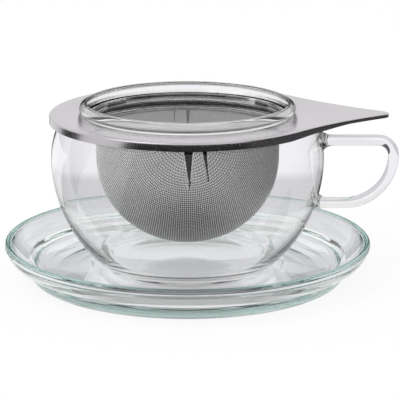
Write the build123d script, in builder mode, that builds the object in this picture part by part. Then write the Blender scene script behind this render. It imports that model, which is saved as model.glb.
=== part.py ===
"""Glass tea cup on its saucer, with a steel mesh strainer hung in it and a loose glass lid on top.

Millimetres, +Z up. The origin is on the cup's axis, on the table under the saucer's foot.
The handle and the strainer's tab point along +X.
"""
from build123d import *
from math import acos, atan2, cos, degrees, radians, sin, sqrt
import os

# Saucer, pressed glass
saucer_radius = 70.0
saucer_height = 14.2
saucer_rim_wall = 2.4
flare_width = 9.0
flare_bulge = 2.2
tier_height = 4.8
tier_overhang = 2.4
tier_bulge = 0.9
tier_groove = 0.45
saucer_foot_width = 5.0
foot_rise = 1.6
floor_thickness = 3.0
saucer_wall = 2.8
ridge_slope = 65.0
well_depth = 0.8
well_margin = 4.2
saucer_edge_round = 0.4

# Cup bowl, blown glass
bowl_radius = 51.8
cup_height = 57.8
rim_rise = 16.5
rim_draw_in = 4.4
cup_foot_radius = 32.0
cup_foot_width = 8.0
cup_foot_hollow = 0.6
glass_wall = 2.0
base_thickness = 3.2
cup_rim_round = 0.6
cup_foot_round = 0.7
inner_corner = 7.0

# Cup handle, bent glass rod with pressed feet
handle_projection = 28.6
handle_drop = 9.8
upper_bend = 6.0
lower_bend = 18.6
rod_thickness = 4.0
rod_width = 6.2
pad_height = 7.6
pad_width = 8.8
pad_thickness = 2.6
pad_flare = 1.1
upper_pad_drop = 0.7
lower_pad_rise = 1.5

# Strainer plate, pressed steel sheet
sheet = 0.8
lip_clearance = 2.95
lip_depth = 3.0
tip_lip_depth = 1.4
taper_inset = 14.3
taper_length = 22.0
plate_fold = 0.6
tab_length = 23.9
tab_tip_radius = 4.2
tab_flank_radius = 150.0

# Strainer collar, basket and band, thin steel
collar_clearance = 4.2
collar_flange = 3.5
collar_wall = 0.5
collar_neck = 3.9
recess_depth = 3.2
ledge_width = 3.2
mesh_wall = 0.4
basket_neck = 12.8
basket_gap = 5.2
band_wall = 0.5
band_height = 3.6

# Lid, pressed glass dish
lid_height = 4.5
lid_wall = 2.3
lid_floor = 2.4
lid_bulge = 2.0
seat_overlap = 1.8
plug_clearance = 0.5
plug_gap = 0.6
plug_round = 0.5
dish_hollow = 1.0
dish_corner = 1.5

# Heights above the table
well_floor = foot_rise + floor_thickness
saucer_floor = well_floor + well_depth
cup_foot = well_floor
cup_rim = cup_foot + cup_height
widest = cup_rim - rim_rise
inner_floor = cup_foot + base_thickness
plate_under = cup_rim
plate_top = plate_under + sheet
ledge = plate_top - recess_depth
ledge_under = ledge - collar_wall

# Radii of what seats in what, from the cup's rim inwards
cup_rim_radius = bowl_radius - rim_draw_in
flange_radius = cup_rim_radius - glass_wall - collar_clearance
recess_outside = flange_radius - collar_flange
recess_radius = recess_outside - collar_wall
collar_bore = recess_radius - ledge_width
mesh_inside = collar_bore + collar_wall
mesh_outside = mesh_inside + mesh_wall

down = (0, -1)
up = (0, 1)

os.makedirs("parts", exist_ok=True)

# Saucer: two rounded tiers outside, a flat floor with a shallow well inside
tier_radius = saucer_radius - flare_width
saucer_foot_radius = tier_radius - tier_overhang
foot_inside = saucer_foot_radius - saucer_foot_width
floor_radius = saucer_foot_radius - saucer_wall
well_radius = cup_foot_radius + well_margin
groove_radius = tier_radius - tier_groove
ridge_radius = groove_radius - saucer_wall * cos(radians(ridge_slope))
ridge_height = tier_height + saucer_wall * sin(radians(ridge_slope))
rim_crown = saucer_rim_wall / 2
rim_low = saucer_height - rim_crown
with BuildPart() as saucer:
    with BuildSketch(Plane.XZ) as saucer_section:
        with BuildLine():
            hollow = Line((0, foot_rise), (foot_inside - foot_rise, foot_rise))
            hollow_side = Line(hollow @ 1, (foot_inside, 0))
            foot = Line(hollow_side @ 1, (saucer_foot_radius, 0))
            tier = SagittaArc(foot @ 1, (tier_radius, tier_height - tier_groove), -tier_bulge)
            groove = Line(tier @ 1, (groove_radius, tier_height))
            flare = SagittaArc(groove @ 1, (saucer_radius, rim_low), -flare_bulge)
            rim = SagittaArc(flare @ 1, (saucer_radius - saucer_rim_wall, rim_low), -rim_crown)
            inner_flare = SagittaArc(rim @ 1, (ridge_radius, ridge_height), flare_bulge)
            inner_tier = SagittaArc(inner_flare @ 1, (floor_radius, saucer_floor), tier_bulge)
            floor = Line(inner_tier @ 1, (well_radius + well_depth, saucer_floor))
            well_side = Line(floor @ 1, (well_radius, well_floor))
            Polyline(well_side @ 1, (0, well_floor), hollow @ 0)
        make_face()
        soft_corners = [foot @ 0, foot @ 1, inner_tier @ 0, inner_tier @ 1, well_side @ 0, well_side @ 1]
        corner_points = [saucer_section.vertices().sort_by_distance(corner)[0] for corner in soft_corners]
        fillet(corner_points, saucer_edge_round)
    revolve(axis=Axis.Z)
saucer.part.label = "saucer"
export_step(saucer.part, "parts/saucer.step")


def bowl_outside(height):
    """Outside radius of the bowl at a height: one arc below the widest line, a tighter one above it."""
    end_radius, end_height = (cup_rim_radius, cup_rim) if height > widest else (cup_foot_radius, cup_foot)
    drawn_in = bowl_radius - end_radius
    arc_radius = (drawn_in ** 2 + (end_height - widest) ** 2) / (2 * drawn_in)
    return bowl_radius - arc_radius + sqrt(arc_radius ** 2 - (height - widest) ** 2)


# Cup bowl: one arc from the widest line down to the foot, a tighter one up to the rim
hollow_roof = cup_foot + cup_foot_hollow
foot_hollow_radius = cup_foot_radius - cup_foot_width
bowl_inside = bowl_radius - glass_wall
with BuildPart() as cup_bowl:
    with BuildSketch(Plane.XZ) as bowl_section:
        with BuildLine():
            hollow = Line((0, hollow_roof), (foot_hollow_radius - cup_foot_hollow, hollow_roof))
            hollow_side = Line(hollow @ 1, (foot_hollow_radius, cup_foot))
            foot = Line(hollow_side @ 1, (cup_foot_radius, cup_foot))
            lower_out = TangentArc((bowl_radius, widest), foot @ 1, tangent=down)
            upper_out = TangentArc((bowl_radius, widest), (cup_rim_radius, cup_rim), tangent=up)
            lip = Line(upper_out @ 1, (cup_rim_radius - glass_wall, cup_rim))
            upper_in = TangentArc((bowl_inside, widest), lip @ 1, tangent=up)
            lower_in = TangentArc((bowl_inside, widest), (cup_foot_radius, inner_floor), tangent=down)
            Polyline(lower_in @ 1, (0, inner_floor), hollow @ 0)
        make_face()
        rim_corners = [bowl_section.vertices().sort_by_distance(corner)[0] for corner in (lip @ 0, lip @ 1)]
        fillet(rim_corners, min(cup_rim_round, glass_wall / 3))
        fillet(bowl_section.vertices().sort_by_distance(lower_in @ 1)[0], inner_corner)
        fillet(bowl_section.vertices().sort_by_distance(foot @ 1)[0], cup_foot_round)
    revolve(axis=Axis.Z)
cup_bowl.part.label = "cup_bowl"
export_step(cup_bowl.part, "parts/cup_bowl.step")

# Cup handle: a straight top bar, a tight bend, a wide bend and a straight lower bar, trimmed by the bowl
bar_height = cup_rim - handle_drop
bend_height = bar_height - upper_bend
lower_bar_height = bend_height - lower_bend
rod_outermost = bowl_radius + handle_projection - rod_thickness / 2
bar_start = bowl_outside(bar_height) - pad_thickness
lower_bar_end = bowl_outside(lower_bar_height) - pad_thickness
pad_taper = degrees(atan2(pad_flare, pad_thickness))
with BuildPart() as cup_handle:
    with BuildLine(Plane.XZ) as handle_path:
        top_bar = Line((bar_start, bar_height), (rod_outermost - upper_bend, bar_height))
        tight_bend = TangentArc(top_bar @ 1, (rod_outermost, bend_height), tangent=(1, 0))
        wide_bend = TangentArc(tight_bend @ 1, (rod_outermost - lower_bend, lower_bar_height), tangent=down)
        lower_bar = Line(wide_bend @ 1, (lower_bar_end, lower_bar_height))
    with BuildSketch(Plane.YZ.offset(bar_start)):
        with Locations((0, bar_height)):
            Ellipse(rod_width / 2, rod_thickness / 2)
    sweep(path=handle_path.line)
    for pad_level in (bar_height - upper_pad_drop, lower_bar_height + lower_pad_rise):
        with BuildSketch(Plane.YZ.offset(bowl_outside(pad_level) + pad_thickness)):
            with Locations((0, pad_level)):
                Ellipse(pad_width / 2 - pad_flare, pad_height / 2 - pad_flare)
        extrude(amount=-pad_thickness - pad_height / 2, taper=-pad_taper)
    with BuildSketch(Plane.XZ):
        with BuildLine():
            core_low = TangentArc((bowl_radius, widest), (cup_foot_radius, cup_foot), tangent=down)
            core_high = TangentArc((bowl_radius, widest), (cup_rim_radius, cup_rim), tangent=up)
            Polyline(core_high @ 1, (0, cup_rim), (0, cup_foot), core_low @ 1)
        make_face()
    revolve(axis=Axis.Z, mode=Mode.SUBTRACT)
cup_handle.part.label = "cup_handle"
export_step(cup_handle.part, "parts/cup_handle.step")

# Outline of the strainer plate: a ring whose flanks run in hollow arcs to the tab's round tip
plate_radius = bowl_outside(plate_top - lip_depth) + lip_clearance + sheet
tab_reach = plate_radius + tab_length
tip_center = tab_reach - tab_tip_radius
ring_to_flank = plate_radius + tab_flank_radius
tip_to_flank = tab_tip_radius + tab_flank_radius
flank_cosine = (ring_to_flank ** 2 + tip_center ** 2 - tip_to_flank ** 2) / (2 * ring_to_flank * tip_center)
flank_angle = acos(flank_cosine)
flank_center = Vector(ring_to_flank * cos(flank_angle), ring_to_flank * sin(flank_angle))
ring_end = Vector(plate_radius * cos(flank_angle), plate_radius * sin(flank_angle))
tip_start = Vector(tip_center, 0) + (flank_center - Vector(tip_center, 0)).normalized() * tab_tip_radius
with BuildSketch(Plane.XY.offset(plate_top)) as plate_outline:
    with BuildLine():
        ThreePointArc((-plate_radius, 0), (0, plate_radius), ring_end)
        RadiusArc(ring_end, tip_start, -tab_flank_radius)
        TangentArc((tab_reach, 0), tip_start, tangent=up)
        mirror(about=Plane.XZ)
    make_face()

# Strainer plate: the outline pressed down at its edge, with the lip running out along the tab
lip_low = plate_top - lip_depth
tip_lip_low = plate_top - tip_lip_depth
taper_start = plate_radius - taper_inset
with BuildPart() as strainer_plate:
    add(plate_outline.sketch)
    extrude(amount=-lip_depth)
    fillet(strainer_plate.faces().sort_by(Axis.Z)[-1].edges(), plate_fold)
    with BuildSketch(Plane.XY.offset(plate_under)):
        add(plate_outline.sketch)
        offset(amount=-sheet, kind=Kind.ARC, mode=Mode.REPLACE)
    extrude(amount=-lip_depth, mode=Mode.SUBTRACT)
    with BuildSketch(Plane.XZ):
        with BuildLine():
            Polyline(
                (taper_start, lip_low),
                (taper_start + taper_length, tip_lip_low),
                (tab_reach + sheet, tip_lip_low),
                (tab_reach + sheet, lip_low - sheet),
                (taper_start, lip_low - sheet),
                close=True,
            )
        make_face()
    extrude(amount=plate_radius, both=True, mode=Mode.SUBTRACT)
    with Locations((0, 0, plate_top)):
        Hole(recess_radius)
strainer_plate.part.label = "strainer_plate"
export_step(strainer_plate.part, "parts/strainer_plate.step")

# Strainer collar: a stepped ring, welded under the plate, with a recess for the lid and a neck for the basket
flange_under = plate_under - collar_wall
collar_low = ledge_under - collar_neck
with BuildPart() as strainer_collar:
    with BuildSketch(Plane.XZ):
        with BuildLine():
            Polyline(
                (collar_bore, collar_low),
                (mesh_inside, collar_low),
                (mesh_inside, ledge_under),
                (recess_outside, ledge_under),
                (recess_outside, flange_under),
                (flange_radius, flange_under),
                (flange_radius, plate_under),
                (recess_radius, plate_under),
                (recess_radius, ledge),
                (collar_bore, ledge),
                close=True,
            )
        make_face()
    revolve(axis=Axis.Z)
strainer_collar.part.label = "strainer_collar"
export_step(strainer_collar.part, "parts/strainer_collar.step")

# Mesh basket: a straight neck over the collar and a round bowl below, clear of the cup's floor
basket_low = inner_floor + basket_gap
basket_round = ledge_under - basket_neck
basket_floor = basket_low + mesh_wall
quarter_ellipse = [1, sqrt(0.5), 1]
with BuildPart() as mesh_basket:
    with BuildSketch(Plane.XZ):
        with BuildLine():
            outside = Bezier(
                (mesh_outside, basket_round),
                (mesh_outside, basket_low),
                (0, basket_low),
                weights=quarter_ellipse,
            )
            inside = Bezier(
                (mesh_inside, basket_round),
                (mesh_inside, basket_floor),
                (0, basket_floor),
                weights=quarter_ellipse,
            )
            Polyline(outside @ 0, (mesh_outside, ledge_under), (mesh_inside, ledge_under), inside @ 0)
            Line(outside @ 1, inside @ 1)
        make_face()
    revolve(axis=Axis.Z)
mesh_basket.part.label = "mesh_basket"
export_step(mesh_basket.part, "parts/mesh_basket.step")

# Basket band: a plain hoop that holds the mesh's edge on the collar
with BuildPart() as basket_band:
    with BuildSketch(Plane.XY.offset(ledge_under)):
        Circle(mesh_outside + band_wall)
        Circle(mesh_outside, mode=Mode.SUBTRACT)
    extrude(amount=-band_height)
basket_band.part.label = "basket_band"
export_step(basket_band.part, "parts/basket_band.step")

# Lid: a dish with a bulging wall, whose floor drops into the collar's recess
lid_crown = lid_wall / 2
lid_rim_low = plate_top + lid_height - lid_crown
lid_waist = (plate_top + lid_rim_low) / 2
lid_seat_radius = recess_radius + seat_overlap
plug_radius = recess_radius - plug_clearance
plug_low = ledge + plug_gap
dish_floor = plug_low + lid_floor
dish_rim = lid_seat_radius - lid_wall
dish_radius = plug_radius - lid_wall
with BuildPart() as lid:
    with BuildSketch(Plane.XZ) as lid_section:
        with BuildLine():
            plug = Line((0, plug_low), (plug_radius, plug_low))
            plug_side = Line(plug @ 1, (plug_radius, plate_top))
            seat = Line(plug_side @ 1, (lid_seat_radius, plate_top))
            outer_wall = Line(seat @ 1, (lid_seat_radius, lid_rim_low))
            rim = SagittaArc(outer_wall @ 1, (dish_rim, lid_rim_low), -lid_crown)
            dish_side = SagittaArc(rim @ 1, (dish_radius, dish_floor), dish_hollow)
            Polyline(dish_side @ 1, (0, dish_floor), plug @ 0)
        make_face()
        fillet(lid_section.vertices().sort_by_distance(dish_side @ 1)[0], dish_corner)
        fillet(lid_section.vertices().sort_by_distance(plug @ 1)[0], plug_round)
        with Locations((lid_seat_radius, lid_waist)):
            Ellipse(lid_bulge, lid_waist - plate_top)
    revolve(axis=Axis.Z)
lid.part.label = "lid"
export_step(lid.part, "parts/lid.step")
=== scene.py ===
"""Looks of a glass tea cup on its saucer, with a steel strainer hung in it and a loose glass lid on top.

Laid out as an add-on and run as a script. Metres, +Z up, on the cup's axis, with the table at height 0.
The handle and the strainer's tab point along +X.
"""
import math
from typing import NamedTuple

import bpy
from bpy.props import FloatProperty, FloatVectorProperty, PointerProperty
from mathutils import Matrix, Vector


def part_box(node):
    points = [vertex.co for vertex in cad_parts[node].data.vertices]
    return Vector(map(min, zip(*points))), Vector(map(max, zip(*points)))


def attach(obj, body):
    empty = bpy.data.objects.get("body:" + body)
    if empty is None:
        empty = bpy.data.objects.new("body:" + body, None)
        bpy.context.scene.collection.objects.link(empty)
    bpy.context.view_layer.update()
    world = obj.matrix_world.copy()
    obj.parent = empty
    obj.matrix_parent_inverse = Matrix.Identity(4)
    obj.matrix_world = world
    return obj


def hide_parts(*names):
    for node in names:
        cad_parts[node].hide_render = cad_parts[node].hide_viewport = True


bl_info = {
    "name": "Glass Tea Cup",
    "version": (1, 0, 0),
    "blender": (4, 5, 0),
    "location": "View3D > Sidebar > Tea Cup",
    "description": "Glass tea cup on its saucer, with a steel mesh strainer and a glass lid",
    "category": "Object",
}

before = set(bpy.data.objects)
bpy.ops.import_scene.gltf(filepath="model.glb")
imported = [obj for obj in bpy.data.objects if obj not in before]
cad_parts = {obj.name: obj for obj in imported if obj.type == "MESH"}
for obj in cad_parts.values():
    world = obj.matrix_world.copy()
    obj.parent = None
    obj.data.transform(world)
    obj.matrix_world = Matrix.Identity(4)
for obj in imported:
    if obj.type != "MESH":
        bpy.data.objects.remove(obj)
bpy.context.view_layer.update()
LOW = {node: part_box(node)[0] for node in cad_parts}
HIGH = {node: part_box(node)[1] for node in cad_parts}
MM = 0.001
PHOTO_PIXELS = 400
FULL_TURN = 2 * math.pi
QUARTER_TURN = math.pi / 2
TURNED_STEPS = 192
ARC_STEPS = 14
SUPPORT = 0.15 * MM
MERGE_DISTANCE = 0.002 * MM
SHARP_EDGE = math.radians(60)
WHITE = (1, 1, 1, 1)
SODA_LIME_IOR = 1.52
BOROSILICATE_IOR = 1.47


def linear(hex_colour):
    """An sRGB hex value as linear red, green and blue."""
    channels = [int(hex_colour[start:start + 2], 16) / 255 for start in (1, 3, 5)]
    return [value / 12.92 if value <= 0.04045 else ((value + 0.055) / 1.055) ** 2.4 for value in channels]


def length(name, description, metres):
    """A size that a user may change."""
    return FloatProperty(name=name, description=description, default=metres, unit="LENGTH", precision=5)


def share(name, description, default):
    """A number from 0 to 1 that a user may change."""
    return FloatProperty(name=name, description=description, default=default, min=0, max=1, subtype="FACTOR")


def number(name, description, default):
    """A plain number that a user may change."""
    return FloatProperty(name=name, description=description, default=default)


def angle(name, description, degrees):
    """An angle that a user may change."""
    return FloatProperty(name=name, description=description, default=math.radians(degrees), subtype="ANGLE")


def colour(name, description, hex_colour):
    """A colour that a user may change."""
    return FloatVectorProperty(
        name=name, description=description, default=linear(hex_colour), min=0, max=1, size=3, subtype="COLOR"
    )


class SaucerSizes(bpy.types.PropertyGroup):
    """Sizes of the saucer."""
    radius: length("Radius", "Outside radius of the rim", HIGH["saucer"].x)
    height: length("Height", "Height of the rim above the table", HIGH["saucer"].z)
    rim_wall: length("Rim Wall", "Thickness of the round rim", 2.4 * MM)
    flare_width: length("Flare Width", "How far the upper tier reaches past the lower one", 9 * MM)
    flare_bulge: length("Flare Bulge", "How far the upper tier bows outwards", 2.2 * MM)
    tier_height: length("Tier Height", "Height of the groove between the tiers", 4.8 * MM)
    tier_overhang: length("Tier Overhang", "How far the lower tier reaches past the foot", 2.4 * MM)
    tier_bulge: length("Tier Bulge", "How far the lower tier bows outwards", 0.9 * MM)
    groove: length("Groove", "Depth of the groove between the tiers", 0.45 * MM)
    foot_width: length("Foot Width", "Width of the foot ring", 5 * MM)
    foot_rise: length("Foot Rise", "Height of the domed hollow inside the foot ring", 1.6 * MM)
    wall: length("Wall", "Thickness of the tiers", 2.8 * MM)
    ridge_slope: angle("Ridge Slope", "Direction in which the wall is measured at the ridge", 65)
    well_depth: length("Well Depth", "Depth of the well for the cup's foot", 0.8 * MM)
    well_radius: length("Well Radius", "Radius of the well for the cup's foot", 36.2 * MM)
    foot_round: length("Foot Round", "Rounding of the foot ring", 0.4 * MM)
    ridge_round: length("Ridge Round", "Rounding of the ridge and the floor's edge inside", 7 * MM)
    inside_bow: share("Inside Bow", "Share of the tiers' bulge that the inside follows", 0.3)
    foot_gap: length("Foot Gap", "Air under the cup's foot, less than 0 where they touch", -0.02 * MM)


class CupSizes(bpy.types.PropertyGroup):
    """Sizes of the bowl and its handle."""
    radius: length("Radius", "Outside radius at the widest line", HIGH["cup_bowl"].x)
    foot: length("Foot", "Height of the foot above the table", LOW["cup_bowl"].z)
    rim: length("Rim", "Height of the rim above the table", HIGH["cup_bowl"].z)
    rim_rise: length("Rim Rise", "Height of the rim above the widest line", 16.5 * MM)
    rim_draw_in: length("Rim Draw In", "How far the rim is drawn in", 4.4 * MM)
    foot_radius: length("Foot Radius", "Radius of the foot", 32 * MM)
    foot_width: length("Foot Width", "Width of the ring that the cup stands on", 8 * MM)
    foot_hollow: length("Foot Hollow", "Depth of the hollow under the base", 0.6 * MM)
    wall: length("Wall", "Thickness of the glass", 1.4 * MM)
    base: length("Base", "Thickness of the base", 3.2 * MM)
    inner_corner: length("Inner Corner", "Radius where the wall meets the base inside", 7 * MM)
    edge_round: length("Edge Round", "Rounding of the rim and the foot", 0.5 * MM)
    handle_reach: length("Handle Reach", "Outermost point of the handle", HIGH["cup_handle"].x)
    handle_drop: length("Handle Drop", "Drop from the rim to the middle of the top bar", 9.8 * MM)
    upper_bend: length("Upper Bend", "Radius of the tight bend", 6 * MM)
    lower_bend: length("Lower Bend", "Radius of the wide bend", 18.6 * MM)
    rod_thickness: length("Rod Thickness", "Thickness of the handle's rod in its plane", 4 * MM)
    rod_width: length("Rod Width", "Width of the handle's rod across its plane", 6.2 * MM)
    pad_height: length("Pad Height", "Height of the pressed feet of the handle", 8.4 * MM)
    pad_width: length("Pad Width", "Width of the pressed feet of the handle", 8.8 * MM)
    pad_length: length("Pad Length", "Length over which a foot runs into the rod", 4.6 * MM)
    upper_pad_drop: length("Upper Pad Drop", "How far the upper foot lies under the bar", 0.7 * MM)
    lower_pad_rise: length("Lower Pad Rise", "How far the lower foot lies over the bar", 1.5 * MM)
    sink: length("Sink", "How far the feet are fused into the bowl", 0.25 * MM)


class StrainerSizes(bpy.types.PropertyGroup):
    """Sizes of the plate, collar, basket and band."""
    plate_radius: length("Plate Radius", "Outside radius of the plate", -LOW["strainer_plate"].x)
    tab_reach: length("Tab Reach", "Outermost point of the tab", HIGH["strainer_plate"].x)
    plate_top: length("Plate Top", "Height of the plate's upper face", HIGH["strainer_plate"].z)
    lip_low: length("Lip Low", "Height of the lip's lower edge", LOW["strainer_plate"].z)
    sheet: length("Sheet", "Thickness of the plate", 0.8 * MM)
    fold: length("Fold", "Radius of the fold into the lip", 0.6 * MM)
    tip_lip: length("Tip Lip", "Depth of the lip along the tab", 1.4 * MM)
    taper_start: length("Taper Start", "Where the lip starts to run out", 38 * MM)
    taper_length: length("Taper Length", "Length over which the lip runs out", 22 * MM)
    tip_radius: length("Tip Radius", "Radius of the tab's tip", 4.2 * MM)
    flank_radius: length("Flank Radius", "Radius of the hollow flanks of the tab", 150 * MM)
    recess_radius: length("Recess Radius", "Radius of the hole for the lid", 37.2 * MM)
    flange_radius: length("Flange Radius", "Outside radius of the collar", HIGH["strainer_collar"].x)
    collar_top: length("Collar Top", "Height of the collar's flange", HIGH["strainer_collar"].z)
    collar_low: length("Collar Low", "Height of the collar's lower edge", LOW["strainer_collar"].z)
    collar_bore: length("Collar Bore", "Inside radius of the collar's neck", 34 * MM)
    collar_wall: length("Collar Wall", "Thickness of the collar", 0.5 * MM)
    basket_radius: length("Basket Radius", "Outside radius of the basket", HIGH["mesh_basket"].x)
    basket_low: length("Basket Low", "Lowest point of the basket", LOW["mesh_basket"].z)
    basket_top: length("Basket Top", "Height of the basket's upper edge", HIGH["mesh_basket"].z)
    basket_neck: length("Basket Neck", "Height of the straight neck of the basket", 12.8 * MM)
    wire: length("Wire", "Width of a rolled wire, coarser than the real one so that it shows", 0.38 * MM)
    rolled: share("Rolled", "Thickness that rolling leaves of the woven mesh", 0.5)
    cloth: length("Cloth", "Thickness of the fine cloth that closes the gaps", 0.12 * MM)
    pitch: length("Pitch", "Distance between wires, coarser than the real one so that it shows", 0.92 * MM)
    fold_depth: length("Fold Depth", "How far the folds run into the basket at the upper edge", 1.6 * MM)
    spare_in_folds: share("Spare In Folds", "Share of the spare mesh that goes into the folds", 0.35)
    band_radius: length("Band Radius", "Outside radius of the band", HIGH["basket_band"].x)
    band_low: length("Band Low", "Height of the band's lower edge", LOW["basket_band"].z)
    edge_round: length("Edge Round", "Rounding of the cut edges", 0.1 * MM)


class LidSizes(bpy.types.PropertyGroup):
    """Sizes of the lid."""
    top: length("Top", "Height of the rim", HIGH["lid"].z)
    low: length("Low", "Height of the underside", LOW["lid"].z)
    wall: length("Wall", "Thickness of the rim", 1.0 * MM)
    floor: length("Floor", "Thickness of the floor", 1.6 * MM)
    bulge: length("Bulge", "How far the wall bows outwards", 2 * MM)
    seat_radius: length("Seat Radius", "Radius of the wall where it leaves the plate", 39 * MM)
    plug_radius: length("Plug Radius", "Radius of the part that drops into the collar", 36.7 * MM)
    plug_round: length("Plug Round", "Rounding under the plug", 0.5 * MM)
    dish_hollow: length("Dish Hollow", "How far the inside of the wall is hollowed", 2.2 * MM)
    dish_corner: length("Dish Corner", "Rounding between the wall and the floor inside", 1.5 * MM)


class Finishes(bpy.types.PropertyGroup):
    """Colours and strengths of the materials."""
    saucer_tint: colour("Saucer Tint", "Colour that thick saucer glass takes", "#9dc4bd")
    saucer_depth: number("Saucer Depth", "How fast the saucer's colour deepens, per metre", 10)
    rim_tint: colour("Rim Tint", "Colour that the saucer's rim gathers along its length", "#86bdb0")
    cup_tint: colour("Cup Tint", "Colour that thick cup glass takes", "#8f9291")
    cup_depth: number("Cup Depth", "How fast the cup's colour deepens, per metre", 8)
    lid_tint: colour("Lid Tint", "Colour that thick lid glass takes", "#a3bdb5")
    lid_depth: number("Lid Depth", "How fast the lid's colour deepens, per metre", 14)
    plate_steel: colour("Plate Steel", "Satin steel of the plate", "#bfbbbf")
    # The collar and band's steel is painted near black as the shade it sits in under the plate and lid
    shaded_collar_steel: colour("Collar Steel", "Drawn steel of the collar and band", "#28211c")
    # Wire Crest and Wire Hollow are a lit and a shaded copy of the wire's steel: a painted highlight on the
    # crests and painted shade in the dips
    wire_crest: colour("Wire Crest", "Steel wire of the basket where it rides over", "#ffffff")
    wire_dip_shade: colour("Wire Hollow", "Steel wire of the basket where it dips under", "#464443")
    # Fold Steel is painted shade in the depth of the folds
    fold_shade_steel: colour("Fold Steel", "Folded mesh, dark in its depth", "#2b2a29")
    # Cloth Gap is painted shade between the wires; the inside of the cloth takes the Wire Crest white as a
    # lit copy
    gap_shade_cloth: colour("Cloth Gap", "Fine cloth in the gaps between the wires", "#201f1e")


class StageSettings(bpy.types.PropertyGroup):
    """Camera, light and floor."""
    camera_aim: length("Camera Aim", "Height that the camera looks at", 41.1 * MM)
    camera_distance: length("Camera Distance", "Distance from that point to the camera", 809.2 * MM)
    camera_elevation: angle("Camera Elevation", "Height of the camera over the horizon", 13.62)
    camera_lens: number("Camera Lens", "Focal length in millimetres on a 36 mm sensor", 191.04)
    aim_left: number("Aim Left", "How far left of the middle the aim lies, in pixels of the photo", 12.5)
    aim_up: number("Aim Up", "How far above the middle the aim lies, in pixels of the photo", 30.6)
    ambient: share("Ambient", "White light from all round", 0.78)
    floor_glow: share("Floor Glow", "Share of the floor's white that no shadow takes away", 0.85)
    # The floor's glows through glass and in steel paint a pool of light under the cup and shadows under and
    # round the saucer
    glow_under_cup: share("Glow Under Cup", "Floor's brightness under the cup, through glass", 1.0)
    glow_under_glass: share("Glow Under Glass", "Floor's brightness under the saucer, through glass", 0.8)
    glow_near_glass: share("Glow Near Glass", "Floor's brightness round the saucer, through glass", 0.68)
    glow_behind_glass: share("Glow Behind Glass", "Floor's brightness farther off, through glass", 1.0)
    glow_above_glass: share("Glow Above Glass", "Studio's brightness, straight through glass", 0.86)
    table_depth: length("Table Depth", "How far behind the cup the darker floor ends", 146 * MM)
    front_shade: share("Front Shade", "Share of the glow left under the saucer's front, through glass", 0.36)
    glow_in_steel: share("Glow In Steel", "Floor's brightness, mirrored in the steel in the cup", 0.66)
    glass_tone: colour("Glass Tone", "Colour of the white floor, through glass", "#fafaff")
    key_power: number("Key Power", "Power of the soft light in watts", 4)
    key_size: length("Key Size", "Width of the soft light", 0.9)


class TeaCup(bpy.types.PropertyGroup):
    """All sizes and finishes of the tea cup."""
    saucer: PointerProperty(type=SaucerSizes)
    cup: PointerProperty(type=CupSizes)
    strainer: PointerProperty(type=StrainerSizes)
    lid: PointerProperty(type=LidSizes)
    finishes: PointerProperty(type=Finishes)
    stage: PointerProperty(type=StageSettings)


class Fold(NamedTuple):
    """A fold of spare mesh: a narrow dart that hangs from the basket's upper edge and ends in a point."""
    side: float
    shift: float
    half_width: float
    drop: float
    lean: float


FRONT, BACK = -QUARTER_TURN, QUARTER_TURN
FOLDS = (
    Fold(FRONT, 0.2 * MM, 2.1 * MM, 17.4 * MM, 0.6 * MM),
    Fold(FRONT, 5.9 * MM, 1.2 * MM, 14.2 * MM, 1.7 * MM),
    Fold(BACK, 0.3 * MM, 1.4 * MM, 14 * MM, -0.3 * MM),
    Fold(BACK, -4.8 * MM, 0.5 * MM, 11 * MM, -0.9 * MM),
)


# Outlines, as points of radius and height


def arc(start, end, sagitta, steps=ARC_STEPS):
    """Points after start on a round arc to end, whose middle stands to the right of the way by sagitta."""
    start, end = Vector(start), Vector(end)
    chord = end - start
    aside = Vector((chord.y, -chord.x)).normalized()
    radius = (chord.length_squared / 4 + sagitta ** 2) / (2 * abs(sagitta))
    half = math.asin(min(1, chord.length / 2 / radius))
    middle = (start + end) / 2
    center = middle + aside * (sagitta - math.copysign(radius, sagitta))
    points = []
    for step in range(1, steps + 1):
        swing = half * (2 * step / steps - 1)
        along = chord.normalized() * math.sin(swing) * radius
        points.append(center + along + aside * math.copysign(radius * math.cos(swing), sagitta))
    return points


def dome(top, edge):
    """Points after top on a round arc that leaves the axis level and falls to edge."""
    return arc(top, edge, (edge[1] - top[1]) / 4)


def straight(start, end):
    """Points after start on a straight run to end, with support points that keep its shading flat."""
    start, end = Vector(start), Vector(end)
    margin = (end - start).normalized() * min(SUPPORT, (end - start).length / 3)
    return [start + margin, end - margin, end]


def from_upright(start, end):
    """Sagitta of the arc that leaves start straight up or down and goes through end."""
    inwards, rise = start[0] - end[0], end[1] - start[1]
    chord = math.hypot(inwards, rise)
    radius = chord ** 2 / (2 * inwards)
    return radius - math.sqrt(radius ** 2 - chord ** 2 / 4)


def rounded(points, corner, radius, steps=5):
    """The points with the corner nearest to the given one replaced by a round arc."""
    at = min(range(len(points)), key=lambda index: (Vector(points[index]) - Vector(corner)).length)
    tip = Vector(points[at])
    before = next(Vector(p) for p in reversed(points[:at]) if (Vector(p) - tip).length > 2 * SUPPORT)
    after = next(Vector(p) for p in points[at + 1:] if (Vector(p) - tip).length > 2 * SUPPORT)
    back, ahead = (before - tip).normalized(), (after - tip).normalized()
    opening = back.angle(ahead)
    reach = radius / math.tan(opening / 2)
    first, last = tip + back * reach, tip + ahead * reach
    side = 1 if back.x * ahead.y - back.y * ahead.x < 0 else -1
    bow = radius - radius * math.sin(opening / 2)
    turned = [first] + arc(first, last, -side * bow, steps)
    head = [p for p in points[:at] if (Vector(p) - tip).length > reach]
    tail = [p for p in points[at + 1:] if (Vector(p) - tip).length > reach]
    return head + turned + tail


# Modelling steps that several pieces share


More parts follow.
